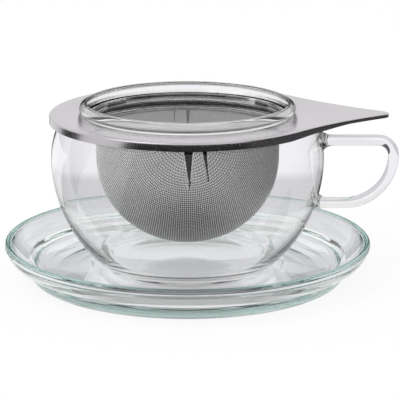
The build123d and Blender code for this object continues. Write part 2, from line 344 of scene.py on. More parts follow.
def draw(name, points, closed=False):
    """A new mesh object with one edge chain through the points, left in edit mode and all selected."""
    bpy.ops.object.select_all(action="DESELECT")
    bpy.ops.mesh.primitive_plane_add(size=MM)
    piece = bpy.context.object
    piece.name = name
    bpy.ops.object.mode_set(mode="EDIT")
    bpy.ops.mesh.merge(type="CENTER")
    bpy.ops.transform.translate(value=points[0])
    for before, after in zip(points, points[1:] + points[:1] * closed):
        bpy.ops.mesh.extrude_region_move(TRANSFORM_OT_translate={"value": Vector(after) - Vector(before)})
    bpy.ops.mesh.select_all(action="SELECT")
    bpy.ops.mesh.remove_doubles(threshold=MERGE_DISTANCE)
    return piece


def face_outwards():
    """Turns all faces of the piece in edit mode outwards, and leaves edit mode."""
    bpy.ops.mesh.select_all(action="SELECT")
    bpy.ops.mesh.normals_make_consistent(inside=False)
    bpy.ops.object.mode_set(mode="OBJECT")


def turn(name, outline, closed=False):
    """A piece turned about the cup's axis from an outline of radius and height."""
    piece = draw(name, [(radius, 0, height) for radius, height in outline], closed)
    bpy.ops.mesh.spin(steps=TURNED_STEPS, angle=FULL_TURN, center=(0, 0, 0), axis=(0, 0, 1))
    bpy.ops.mesh.select_all(action="SELECT")
    bpy.ops.mesh.remove_doubles(threshold=MERGE_DISTANCE)
    face_outwards()
    return piece


def pick(piece, wanted):
    """Selects the vertices whose place is wanted, and the edges and faces between them."""
    bpy.ops.object.mode_set(mode="EDIT")
    bpy.ops.mesh.select_mode(type="VERT")
    bpy.ops.mesh.select_all(action="DESELECT")
    bpy.ops.object.mode_set(mode="OBJECT")
    for vertex in piece.data.vertices:
        vertex.select = wanted(vertex.co)
    bpy.ops.object.mode_set(mode="EDIT")


def place_selected(piece, place):
    """Moves each selected vertex to where place says, and stays in edit mode."""
    bpy.ops.object.mode_set(mode="OBJECT")
    for vertex in piece.data.vertices:
        if vertex.select:
            vertex.co = place(vertex.co)
    bpy.ops.object.mode_set(mode="EDIT")


def modify(piece, kind, **settings):
    """Adds a modifier, sets it and applies it."""
    bpy.context.view_layer.objects.active = piece
    modifier = piece.modifiers.new(kind.title(), kind)
    for setting, value in settings.items():
        setattr(modifier, setting, value)
    bpy.ops.object.modifier_apply(modifier=modifier.name)


def round_edges(piece, width, segments):
    """Rounds the sharp edges of a piece."""
    modify(piece, "BEVEL", width=width, segments=segments, limit_method="ANGLE", angle_limit=SHARP_EDGE)


def settle(piece, material, body, slot, *nodes, sharp=35):
    """Shades a finished piece, gives it its material, and ties it to its body and the nodes it replaces.

    Edges that turn by more than sharp, in degrees, stay sharp.
    """
    bpy.ops.object.select_all(action="DESELECT")
    piece.select_set(True)
    bpy.context.view_layer.objects.active = piece
    bpy.ops.object.transform_apply(location=True, rotation=True, scale=True)
    bpy.ops.object.shade_smooth_by_angle(angle=math.radians(sharp))
    piece.data.materials.clear()
    piece.data.materials.append(material)
    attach(piece, body)
    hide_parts(*nodes)


# Materials


def add_node(tree, kind, settings=None, *inputs, **named_inputs):
    """Adds a node with its settings and links.

    Inputs without a name go to the node's shown sockets in order. An input is a value, a socket of another
    node, or another node, which gives its first shown output.
    """
    node = tree.nodes.new(kind)
    for setting, value in (settings or {}).items():
        setattr(node, setting, value)
    links = list(zip((socket for socket in node.inputs if socket.enabled), inputs))
    links += [(node.inputs[name.replace("_", " ")], value) for name, value in named_inputs.items()]
    for socket, value in links:
        if isinstance(value, bpy.types.Node):
            value = next(output for output in value.outputs if output.enabled)
        if isinstance(value, bpy.types.NodeSocket):
            tree.links.new(value, socket)
        else:
            socket.default_value = value
    return node


def new_material(name):
    """A material that has no nodes yet, and its node tree."""
    material = bpy.data.materials.new(name)
    material.use_nodes = True
    material.node_tree.nodes.clear()
    return material, material.node_tree


def dark_and_light(tone, contrast):
    """A darker and a lighter shade of a colour."""
    return [(*[min(1, channel * factor) for channel in tone], 1) for factor in (1 - contrast, 1 + contrast)]


def clear_glass(name, ior, tint, depth, ripple_size, ripple, rim=None):
    """Clear glass: bright in thin walls, coloured along thick edges, with the faint ripple of worked glass.

    A rim is the colour of the light that runs along the edge and comes out there, and the heights at which
    that colour starts and is full.
    """
    material, tree = new_material(name)
    place = add_node(tree, "ShaderNodeTexCoord").outputs["Object"]
    surface = WHITE
    if rim:
        rim_tint, start, full = rim
        axes = add_node(tree, "ShaderNodeSeparateXYZ", Vector=place)
        near_rim = add_node(tree, "ShaderNodeMapRange", None, axes.outputs["Z"], start, full)
        surface = add_node(tree, "ShaderNodeMix", {"data_type": "RGBA"}, near_rim, WHITE, (*rim_tint, 1))
    noise = add_node(tree, "ShaderNodeTexNoise", Vector=place, Scale=1 / ripple_size, Detail=1)
    bump = add_node(tree, "ShaderNodeBump", Strength=ripple, Distance=MM, Height=noise)
    glass = add_node(
        tree, "ShaderNodeBsdfPrincipled", Base_Color=surface, Roughness=0, IOR=ior, Transmission_Weight=1,
        Normal=bump,
    )
    colouring = add_node(tree, "ShaderNodeVolumeAbsorption", Color=(*tint, 1), Density=depth)
    add_node(tree, "ShaderNodeOutputMaterial", Surface=glass, Volume=colouring)
    return material


def brushed_steel(name, tone, roughness, streak_length, streak_width, contrast):
    """Stainless steel with a satin finish: fine streaks along X that vary its tone and its gloss."""
    usual_noise = (0.3, 0.7)
    gloss_spread = 0.15
    streak_depth = 0.02 * MM
    material, tree = new_material(name)
    place = add_node(tree, "ShaderNodeTexCoord").outputs["Object"]
    per_metre = (1 / streak_length, 1 / streak_width, 1 / streak_width)
    lay = add_node(tree, "ShaderNodeMapping", Vector=place, Scale=per_metre)
    streaks = add_node(tree, "ShaderNodeTexNoise", Vector=lay, Scale=1, Detail=3)
    shade = add_node(tree, "ShaderNodeMix", {"data_type": "RGBA"}, streaks, *dark_and_light(tone, contrast))
    gloss = add_node(
        tree, "ShaderNodeMapRange", None, streaks, *usual_noise,
        roughness * (1 - gloss_spread), roughness * (1 + gloss_spread),
    )
    bump = add_node(tree, "ShaderNodeBump", Strength=0.08, Distance=streak_depth, Height=streaks)
    steel = add_node(
        tree, "ShaderNodeBsdfPrincipled", Base_Color=shade, Metallic=1, Roughness=gloss, Normal=bump
    )
    add_node(tree, "ShaderNodeOutputMaterial", Surface=steel)
    return material


def wire_cloth(name, tone, roughness, grain, contrast, metallic=1):
    """Fine steel wire cloth: a dull metal whose tone varies from thread to thread."""
    material, tree = new_material(name)
    place = add_node(tree, "ShaderNodeTexCoord").outputs["Object"]
    threads = add_node(tree, "ShaderNodeTexNoise", Vector=place, Scale=1 / grain, Detail=2)
    shade = add_node(tree, "ShaderNodeMix", {"data_type": "RGBA"}, threads, *dark_and_light(tone, contrast))
    steel = add_node(
        tree, "ShaderNodeBsdfPrincipled", Base_Color=shade, Metallic=metallic, Roughness=roughness
    )
    add_node(tree, "ShaderNodeOutputMaterial", Surface=steel)
    return material


def rolled_wire(name, crest, hollow, roughness):
    """Rolled steel wire with painted light: a painted highlight where a wire rides over its neighbour,
    painted shade where it dips under.
    """
    light_variation_size = 0.8 * MM
    usual_noise = (0.35, 0.65)
    crest_light_range = (0.8, 1)
    dip_to_crest = (0.1, 0.5)
    material, tree = new_material(name)
    relief = add_node(tree, "ShaderNodeAttribute", {"attribute_name": "relief"}).outputs["Fac"]
    place = add_node(tree, "ShaderNodeTexCoord").outputs["Object"]
    # Noise varies the strength of the painted highlight at random
    light_variation = add_node(tree, "ShaderNodeTexNoise", Vector=place, Scale=1 / light_variation_size, Detail=2)
    crest_light = add_node(tree, "ShaderNodeMapRange", None, light_variation, *usual_noise, *crest_light_range)
    # How far each point stood out sets its share of the painted highlight; the dips keep the painted shade
    lit_share = add_node(tree, "ShaderNodeMapRange", None, relief, *dip_to_crest, 0, crest_light)
    shade = add_node(tree, "ShaderNodeMix", {"data_type": "RGBA"}, lit_share, (*hollow, 1), (*crest, 1))
    steel = add_node(tree, "ShaderNodeBsdfPrincipled", Base_Color=shade, Metallic=1, Roughness=roughness)
    add_node(tree, "ShaderNodeOutputMaterial", Surface=steel)
    return material


# Pieces


def make_saucer(sizes, finishes):
    """The saucer, turned: two rounded tiers outside, a flat floor with a shallow well inside."""
    tier_radius = sizes.radius - sizes.flare_width
    foot_radius = tier_radius - sizes.tier_overhang
    foot_inside = foot_radius - sizes.foot_width
    groove_radius = tier_radius - sizes.groove
    crown = sizes.rim_wall / 2
    rim_low = sizes.height - crown
    ridge = (
        groove_radius - sizes.wall * math.cos(sizes.ridge_slope),
        sizes.tier_height + sizes.wall * math.sin(sizes.ridge_slope),
    )
    well_floor = LOW["cup_bowl"].z - sizes.foot_gap
    floor = LOW["cup_bowl"].z + sizes.well_depth
    floor_radius = foot_radius - sizes.wall
    tier_top = (tier_radius, sizes.tier_height - sizes.groove)
    outline = [Vector((0, sizes.foot_rise))]
    outline += dome(outline[-1], (foot_inside, 0))
    outline += straight(outline[-1], (foot_radius, 0))
    outline += arc(outline[-1], tier_top, sizes.tier_bulge)
    outline += [Vector((groove_radius, sizes.tier_height))]
    outline += arc(outline[-1], (sizes.radius, rim_low), sizes.flare_bulge)
    outline += arc(outline[-1], (sizes.radius - sizes.rim_wall, rim_low), crown)
    outline += arc(outline[-1], ridge, -sizes.flare_bulge * sizes.inside_bow)
    outline += arc(outline[-1], (floor_radius, floor), -sizes.tier_bulge * sizes.inside_bow)
    outline += straight(outline[-1], (sizes.well_radius + sizes.well_depth, floor))
    outline += straight(outline[-1], (sizes.well_radius, well_floor))
    outline += straight(outline[-1], (0, well_floor))
    outline = rounded(outline, (foot_radius, 0), sizes.foot_round)
    for corner in (ridge, (floor_radius, floor)):
        outline = rounded(outline, corner, sizes.ridge_round)
    saucer = turn("saucer_glass", outline)
    glass = clear_glass(
        "Pressed soda-lime glass", SODA_LIME_IOR, finishes.saucer_tint, finishes.saucer_depth,
        ripple_size=18 * MM, ripple=0.02, rim=(finishes.rim_tint, rim_low, sizes.height),
    )
    settle(saucer, glass, "saucer", "saucer_glass", "saucer")


def bowl_outside(sizes, height):
    """Outside radius of the bowl at a height."""
    widest = sizes.rim - sizes.rim_rise
    if height > widest:
        drawn_in, end = sizes.rim_draw_in, sizes.rim
    else:
        drawn_in, end = sizes.radius - sizes.foot_radius, sizes.foot
    radius = (drawn_in ** 2 + (end - widest) ** 2) / (2 * drawn_in)
    return sizes.radius - radius + math.sqrt(radius ** 2 - (height - widest) ** 2)


def make_bowl(sizes, glass):
    """The bowl, turned: one arc from the widest line down to the foot, a tighter one up to the rim."""
    widest = sizes.rim - sizes.rim_rise
    rim_radius = sizes.radius - sizes.rim_draw_in
    hollow_roof = sizes.foot + sizes.foot_hollow
    hollow_radius = sizes.foot_radius - sizes.foot_width
    inner_floor = sizes.foot + sizes.base
    side, inner_side = (sizes.radius, widest), (sizes.radius - sizes.wall, widest)
    rim_out, rim_in = (rim_radius, sizes.rim), (rim_radius - sizes.wall, sizes.rim)
    foot_edge, floor_edge = (sizes.foot_radius, sizes.foot), (sizes.foot_radius, inner_floor)
    lower_steps, upper_steps = 32, 20
    outline = [Vector((0, hollow_roof))]
    outline += dome(outline[-1], (hollow_radius, sizes.foot))
    outline += straight(outline[-1], foot_edge)
    outline += arc(foot_edge, side, from_upright(side, foot_edge), lower_steps)
    outline += arc(side, rim_out, from_upright(side, rim_out), upper_steps)
    outline += [Vector(rim_in)]
    outline += arc(rim_in, inner_side, -from_upright(inner_side, rim_in), upper_steps)
    outline += arc(inner_side, floor_edge, -from_upright(inner_side, floor_edge), lower_steps)
    outline += straight(floor_edge, (0, inner_floor))
    outline = rounded(outline, floor_edge, sizes.inner_corner, 10)
    for corner in (foot_edge, rim_out, rim_in):
        outline = rounded(outline, corner, sizes.edge_round)
    bowl = turn("cup_bowl_glass", outline)
    settle(bowl, glass, "cup", "cup_glass", "cup_bowl")


def make_handle(sizes, glass):
    """The handle: a ring pulled out of its upper foot, bent twice and pressed on the bowl again."""
    bar = sizes.rim - sizes.handle_drop
    bend = bar - sizes.upper_bend
    lower_bar = bend - sizes.lower_bend
    outermost = sizes.handle_reach - sizes.rod_thickness / 2
    half_rod = Vector((sizes.rod_width, sizes.rod_thickness)) / 2
    half_pad = Vector((sizes.pad_width, sizes.pad_height)) / 2
    upper_level, lower_level = bar - sizes.upper_pad_drop, lower_bar + sizes.lower_pad_rise
    ring_points = 48
    flow_steps = 8
    narrowing, spacing = 0.8, 1.4

    def flow(level, bar_level):
        """Rings from a foot on the bowl to the rod: how far out, how high, and how wide and thick."""
        surface = bowl_outside(sizes, level)
        for step in range(flow_steps + 1):
            way = step / flow_steps
            ease = math.sin(way * QUARTER_TURN) ** narrowing
            middle = level + (bar_level - level) * ease
            yield surface + sizes.pad_length * way ** spacing, middle, half_pad.lerp(half_rod, ease)

    def press_on_bowl(place):
        """The point moved along X onto the bowl, and a little into it."""
        out = math.sqrt(bowl_outside(sizes, place.z) ** 2 - place.y ** 2) - sizes.sink
        return Vector((out, place.y, place.z))

    def ring_places(ring):
        """How a vertex of the last ring moves to the next one."""
        out, middle, half = ring
        last = list(last_ring)
        last_ring[:] = ring

        def place(co):
            return Vector((out, co.y * half.x / last[2].x, middle + (co.z - last[1]) * half.y / last[2].y))

        return place

    upper, lower = list(flow(upper_level, bar)), list(flow(lower_level, lower_bar))[::-1]
    bpy.ops.object.select_all(action="DESELECT")
    bpy.ops.mesh.primitive_circle_add(vertices=ring_points, radius=MM, rotation=(0, QUARTER_TURN, 0))
    handle = bpy.context.object
    handle.name = "cup_handle_glass"
    bpy.ops.object.transform_apply(rotation=True)
    bpy.ops.object.mode_set(mode="EDIT")
    bpy.ops.mesh.select_all(action="SELECT")
    last_ring = [0, 0, Vector((MM, MM))]
    place_selected(handle, ring_places(upper[0]))
    for ring in upper[1:]:
        bpy.ops.mesh.extrude_region_move()
        place_selected(handle, ring_places(ring))
    bpy.ops.mesh.extrude_region_move()
    place_selected(handle, ring_places((outermost - sizes.upper_bend, bar, half_rod)))
    for bend_radius, steps in ((sizes.upper_bend, 14), (sizes.lower_bend, 28)):
        bpy.ops.mesh.spin(
            steps=steps, angle=QUARTER_TURN, center=(outermost - bend_radius, 0, bend), axis=(0, -1, 0)
        )
    last_ring[:] = [outermost - sizes.lower_bend, lower_bar, half_rod]
    for ring in lower:
        bpy.ops.mesh.extrude_region_move()
        place_selected(handle, ring_places(ring))
    place_selected(handle, press_on_bowl)
    bpy.ops.mesh.edge_face_add()
    bpy.ops.object.mode_set(mode="OBJECT")
    first_ring = {tuple(vertex.co) for vertex in handle.data.vertices[:ring_points]}
    pick(handle, lambda co: tuple(co) in first_ring)
    place_selected(handle, press_on_bowl)
    bpy.ops.mesh.edge_face_add()
    face_outwards()
    settle(handle, glass, "cup", "cup_glass", "cup_handle", sharp=50)


def plate_outline(sizes):
    """Outline of the plate: a ring whose flanks run in hollow arcs to the tab's round tip."""
    tip_center = sizes.tab_reach - sizes.tip_radius
    ring_to_flank = sizes.plate_radius + sizes.flank_radius
    tip_to_flank = sizes.tip_radius + sizes.flank_radius
    cosine = (ring_to_flank ** 2 + tip_center ** 2 - tip_to_flank ** 2) / (2 * ring_to_flank * tip_center)
    ring_end = math.acos(cosine)
    flank_center = Vector((math.cos(ring_end), math.sin(ring_end))) * ring_to_flank
    tip_turn = math.atan2(flank_center.y, flank_center.x - tip_center)
    flank_start = math.atan2(-flank_center.y, -flank_center.x)
    flank_end = math.atan2(-flank_center.y, tip_center - flank_center.x)
    upper = []
    for center, radius, start, end, steps in (
        (Vector((tip_center, 0)), sizes.tip_radius, 0, tip_turn, 10),
        (flank_center, sizes.flank_radius, flank_end, flank_start, 24),
        (Vector((0, 0)), sizes.plate_radius, ring_end, math.pi, 80),
    ):
        for step in range(steps):
            turn_to = start + (end - start) * step / steps
            upper.append(center + Vector((math.cos(turn_to), math.sin(turn_to))) * radius)
    lower = [Vector((point.x, -point.y)) for point in upper[:0:-1]]
    return upper + [Vector((-sizes.plate_radius, 0))] + lower


def make_plate(sizes, steel):
    """The plate: its outline filled up to the hole, folded down at the edge, then given its thickness."""
    top = sizes.plate_top

    def lip_low(x):
        """Height of the lip's lower edge, which runs out along the tab."""
        way = (x - sizes.taper_start) / sizes.taper_length
        return sizes.lip_low + (top - sizes.tip_lip - sizes.lip_low) * min(1, max(0, way))

    def on_hole(co):
        """The point of the hole's edge nearest to the given point."""
        edge = Vector((co.x, co.y)).normalized() * sizes.recess_radius
        return Vector((edge.x, edge.y, co.z))

    plate = draw("strainer_plate_steel", [(x, y, top) for x, y in plate_outline(sizes)], closed=True)
    bpy.ops.mesh.edge_face_add()
    bpy.ops.mesh.inset(thickness=sizes.fold + SUPPORT)
    bpy.ops.mesh.inset(thickness=SUPPORT)
    place_selected(plate, on_hole)
    bpy.ops.mesh.delete(type="FACE")
    bpy.ops.object.mode_set(mode="OBJECT")
    rim = {tuple(vertex.co) for vertex in plate.data.vertices[:len(plate_outline(sizes))]}
    pick(plate, lambda co: tuple(co) in rim)
    bpy.ops.mesh.extrude_region_move(TRANSFORM_OT_translate={"value": (0, 0, -sizes.fold - SUPPORT)})
    bpy.ops.mesh.extrude_region_move()
    place_selected(plate, lambda co: Vector((co.x, co.y, lip_low(co.x))))
    pick(plate, lambda co: tuple(co) in rim)
    bpy.ops.mesh.bevel(offset=sizes.fold, segments=5, affect="EDGES")
    face_outwards()
    modify(plate, "SOLIDIFY", thickness=sizes.sheet, offset=-1, use_even_offset=True)
    round_edges(plate, sizes.edge_round, 2)
    settle(plate, steel, "strainer", "plate_steel", "strainer_plate")


def make_collar(sizes, steel):
    """The collar, turned: a stepped ring under the plate, with a recess for the lid and a neck below it."""
    wall = sizes.collar_wall
    neck = sizes.collar_bore + wall
    ledge_under = sizes.basket_top
    flange_under = sizes.collar_top - wall
    outline = [
        (sizes.collar_bore, sizes.collar_low), (neck, sizes.collar_low), (neck, ledge_under),
        (sizes.recess_radius + wall, ledge_under), (sizes.recess_radius + wall, flange_under),
        (sizes.flange_radius, flange_under), (sizes.flange_radius, sizes.collar_top),
        (sizes.recess_radius, sizes.collar_top), (sizes.recess_radius, ledge_under + wall),
        (sizes.collar_bore, ledge_under + wall),
    ]
    collar = turn("strainer_collar_steel", outline, closed=True)
    round_edges(collar, 2 * sizes.edge_round, 3)
    settle(collar, steel, "strainer", "plate_steel", "strainer_collar")


def make_band(sizes, steel):
    """The band, turned: a plain hoop round the top of the basket."""
    outline = [
        (sizes.basket_radius, sizes.band_low), (sizes.band_radius, sizes.band_low),
        (sizes.band_radius, sizes.basket_top), (sizes.basket_radius, sizes.basket_top),
    ]
    band = turn("basket_band_steel", outline, closed=True)
    round_edges(band, sizes.edge_round, 2)
    settle(band, steel, "strainer", "plate_steel", "basket_band")


def basket_curve(sizes):
    """The middle of the mesh: its radius at the neck, its centre's height and its depth below that."""
    half_mesh = sizes.wire * sizes.rolled
    center = sizes.basket_top - sizes.basket_neck
    return sizes.basket_radius - half_mesh, center, center - sizes.basket_low - half_mesh


def on_basket(sizes, distance, around, inset=0.0):
    """The point of the basket at a distance up its side from the lowest point, in a direction round it."""
    across, center, down = basket_curve(sizes)
    mean = (across + down) / 2
    swing = min(QUARTER_TURN, distance / mean)
    radius = (across - inset) * math.sin(swing)
    height = center - (down - inset) * math.cos(swing) + max(0, distance - QUARTER_TURN * mean)
    return Vector((radius * math.cos(around), radius * math.sin(around), height))


def basket_length(sizes):
    """Length of the basket's side from its lowest point to its upper edge."""
    across, _, down = basket_curve(sizes)
    return QUARTER_TURN * (across + down) / 2 + sizes.basket_neck - sizes.wire / 2


def fold_edges(sizes, fold, distance):
    """Directions round the axis of a fold's left edge, middle and right edge at a distance up the basket."""
    way = (basket_length(sizes) - distance) / fold.drop
    half = fold.half_width * max(0, 1 - way)
    middle = fold.shift + fold.lean * way
    to_right = -math.copysign(1, fold.side) / sizes.basket_radius
    return [fold.side + (middle + offset) * to_right for offset in (-half, 0, half)]


def roll_flat(sizes, wires):
    """Presses the woven wires flat on the basket, and keeps in an attribute how far each point stood out."""
    across, center, down = basket_curve(sizes)
    # The wire's material turns this relief into a painted highlight on the crests and painted shade in the
    # dips
    relief = wires.data.attributes.new("relief", "FLOAT", "POINT")
    for vertex, mark in zip(wires.data.vertices, relief.data):
        radius, below = vertex.co.xy.length, max(0, center - vertex.co.z)
        stretch = math.hypot(radius / across, below / down)
        mark.value = (stretch - 1) * across / sizes.wire
        pressed = (1 + (stretch - 1) * sizes.rolled) / stretch
        vertex.co.xy *= pressed
        if below:
            vertex.co.z = center - below * pressed


def make_cloth(sizes, outside, inside):
    """The basket's fine cloth, turned, inside the wires: painted dark outside as the shade in the gaps
    between them, and white within as a lit copy of it.
    """
    steps = 40
    across, center, down = basket_curve(sizes)
    half_mesh = sizes.wire * sizes.rolled
    swings = [QUARTER_TURN * step / steps for step in range(steps + 1)]
    skins = []
    for inset in (half_mesh, half_mesh + sizes.cloth):
        wide, deep = across - inset, down - inset
        skin = [(wide * math.sin(swing), center - deep * math.cos(swing)) for swing in swings]
        skins.append(skin + straight(skin[-1], (wide, sizes.basket_top)))
    cloth = turn("basket_cloth", skins[0] + skins[1][::-1])
    settle(cloth, outside, "strainer", "mesh_steel", "mesh_basket")
    # The face towards the axis gets the white, lit inside material; the other face gets the painted shade of
    # the gaps
    cloth.data.materials.append(inside)
    for face in cloth.data.polygons:
        to_axis = Vector((0, 0, center)) - face.center
        face.material_index = 1 if face.normal.dot(to_axis) > 0 else 0


def make_wires(sizes, steel, name, along):
    """One set of the basket's wires, parallel in the flat mesh, over and under the other set.

    The mesh is laid up the basket from its left and right. Beside the folds it turns towards them, and they
    take the spare mesh in.
    """
    reach = basket_length(sizes)

    def lay(co):
        """Direction round the axis in which a point of the flat mesh lies, and how far folds take it in."""
        radius = max(MM, on_basket(sizes, co.length, 0).x)
        beside_folds = max(0, 1 - (reach - co.length) / FOLDS[0].drop)
        spare = max(1, co.length / radius) ** (sizes.spare_in_folds * beside_folds)
        from_side = math.atan2(co.y, abs(co.x)) * spare
        kept = max(-QUARTER_TURN, min(QUARTER_TURN, from_side))
        direction = kept if co.x > 0 else (math.pi - kept if kept > 0 else -math.pi - kept)
        taken_in = abs(from_side - kept) * radius
        for fold in FOLDS:
            low, middle, high = sorted(fold_edges(sizes, fold, co.length))
            if low < direction < high:
                edge = low if direction < middle else high
                taken_in += abs(direction - edge) * radius
                direction = edge
        return direction, taken_in

    def is_cut(first, last):
        """Whether the wire between two points of the flat mesh would cross the mouth of a fold."""
        (first_way, first_in), (last_way, last_in) = lay(first), lay(last)
        if first_in and last_in:
            return True
        for fold in FOLDS:
            low, middle, high = sorted(fold_edges(sizes, fold, first.length))
            on_both_sides = (first_way - middle) * (last_way - middle) < 0
            if low < high and on_both_sides and abs(first_way - last_way) < QUARTER_TURN:
                return True
        return False

    count = 2 * math.ceil(reach / sizes.pitch)
    bpy.ops.object.select_all(action="DESELECT")
    bpy.ops.mesh.primitive_grid_add(x_subdivisions=count, y_subdivisions=count, size=count * sizes.pitch)
    wires = bpy.context.object
    wires.name = name
    mesh = wires.data
    bpy.ops.object.mode_set(mode="EDIT")
    bpy.ops.mesh.select_mode(type="EDGE")
    bpy.ops.mesh.select_all(action="DESELECT")
    bpy.ops.object.mode_set(mode="OBJECT")
    for edge in mesh.edges:
        first, last = (mesh.vertices[index].co for index in edge.vertices)
        edge.select = abs(first[along] - last[along]) < MERGE_DISTANCE or is_cut(first, last)
    bpy.ops.object.mode_set(mode="EDIT")
    bpy.ops.mesh.delete(type="EDGE")
    pick(wires, lambda co: co.length > reach)
    bpy.ops.mesh.delete(type="VERT")
    bpy.ops.object.mode_set(mode="OBJECT")
    for vertex in mesh.vertices:
        row, column = (round(value / sizes.pitch + count / 2) for value in vertex.co.xy)
        crimp = sizes.wire / 2 if (row + column + along) % 2 else -sizes.wire / 2
        vertex.co = on_basket(sizes, vertex.co.length, lay(vertex.co)[0], crimp)
    bpy.ops.object.convert(target="CURVE")
    wires.data.bevel_depth = sizes.wire / 2
    wires.data.bevel_resolution = 1
    wires.data.use_fill_caps = True
    bpy.ops.object.convert(target="MESH")
    roll_flat(sizes, wires)
    settle(wires, steel, "strainer", "mesh_steel", "mesh_basket", sharp=80)


def make_folds(sizes, steel):
    """The folds of spare mesh: each a groove that runs in between the wires, and closes at its point."""
    reach = basket_length(sizes)
    steps = 12
    flaps = []
    for fold in FOLDS:
        chains = [[], [], []]
        for step in range(steps + 1):
            distance = reach - fold.drop * step / steps
            depth = sizes.fold_depth * (1 - step / steps)
            for chain, direction, inset in zip(chains, fold_edges(sizes, fold, distance), (0, depth, 0)):
                chain.append(on_basket(sizes, distance, direction, inset))
        flap = draw("fold", chains[0])
        for before, after in zip(chains, chains[1:]):
            bpy.ops.mesh.extrude_region_move()
            follow = dict(zip((start.freeze() for start in before), after))
            place_selected(flap, lambda co: follow[min(follow, key=lambda start: (start - co).length)])
        face_outwards()
        modify(flap, "SOLIDIFY", thickness=sizes.cloth, offset=0)
        flaps.append(flap)
    bpy.ops.object.select_all(action="DESELECT")
    for flap in flaps:
        flap.select_set(True)
    bpy.context.view_layer.objects.active = flaps[0]
    bpy.ops.object.join()
    flaps[0].name = "basket_folds"
    settle(flaps[0], steel, "strainer", "mesh_steel", "mesh_basket")


def make_lid(sizes, finishes):
    """The lid, turned: a dish with a bulging wall, whose floor drops into the collar's recess."""
    seat = HIGH["strainer_plate"].z
    crown = sizes.wall / 2
    rim_low = sizes.top - crown
    waist = (seat + rim_low) / 2
    dish_floor = sizes.low + sizes.floor
    dish_corner = (sizes.plug_radius - sizes.wall, dish_floor)
    outline = [Vector((0, sizes.low))]
    outline += straight(outline[-1], (sizes.plug_radius, sizes.low))
    outline += straight(outline[-1], (sizes.plug_radius, seat))
    outline += straight(outline[-1], (sizes.seat_radius, seat))
    for step in range(1, ARC_STEPS + 1):
        swing = math.pi * step / ARC_STEPS
        bulge, rise = sizes.bulge * math.sin(swing), (waist - seat) * math.cos(swing)
        outline.append(Vector((sizes.seat_radius + bulge, waist - rise)))
    outline += arc(outline[-1], (sizes.seat_radius - sizes.wall, rim_low), crown)
    outline += arc(outline[-1], dish_corner, -sizes.dish_hollow)
    outline += straight(outline[-1], (0, dish_floor))
    outline = rounded(outline, dish_corner, sizes.dish_corner, 6)
    outline = rounded(outline, (sizes.plug_radius, sizes.low), sizes.plug_round)
    lid = turn("lid_glass", outline)
    glass = clear_glass(
        "Pressed lid glass", SODA_LIME_IOR, finishes.lid_tint, finishes.lid_depth,
        ripple_size=16 * MM, ripple=0.01,
    )
    settle(lid, glass, "lid", "lid_glass", "lid")


# Stage


# Rules on a ray: what is looked at, how it is compared, and with what
THROUGH_GLASS = ("Is Transmission Ray", "GREATER_THAN", 0.5)
SHARP = ("Is Singular Ray", "GREATER_THAN", 0.5)
MIRRORED = ("Glossy Depth", "GREATER_THAN", 0.5)
NOT_MIRRORED = ("Glossy Depth", "LESS_THAN", 0.5)
FOUR_FACES_AT_MOST = ("Transmission Depth", "LESS_THAN", 4.5)
THREE_FACES_OR_MORE = ("Transmission Depth", "GREATER_THAN", 2.5)

# Distances over which the floor's brightness changes, as glass or steel shows it: a painted pool of light
# under the cup, painted shadow under, round and in front of the saucer, and painted shade round the object in
# steel
CUP_FOOT = (34 * MM, 44 * MM)
SAUCER_EDGE = (78 * MM, 88 * MM)
STEEL_SHADE = (60 * MM, 100 * MM)
FRONT_SHADE = (28 * MM, 48 * MM)
FRONT_MIDDLE = (0, -66 * MM, 0)
TABLE_BLUR = 9 * MM

# The floor: white enough to make up for its share of paper, which takes the shadow
FLOOR_WHITE = 1.04
FLOOR_PAPER = (0.9, 0.9, 0.9, 1)
FLOOR_SIZE = 12

# The soft light, and how often light may go through glass or be mirrored
KEY_PLACE = (-0.7, -0.5, 1.2)
GLASS_BOUNCES = 24
MIRROR_BOUNCES = 12


class Card(NamedTuple):
    """A dark card out of view, bent round the object between two directions, in degrees from +X.

    Its two edges are each a distance from the axis and a height. It is mirrored in steel and glass, or seen
    through glass, and with rules it only shows to the rays that fit them.
    """
    name: str
    start: float
    end: float
    near: tuple
    far: tuple
    shade: float
    rules: tuple = ()
    through_glass: bool = False


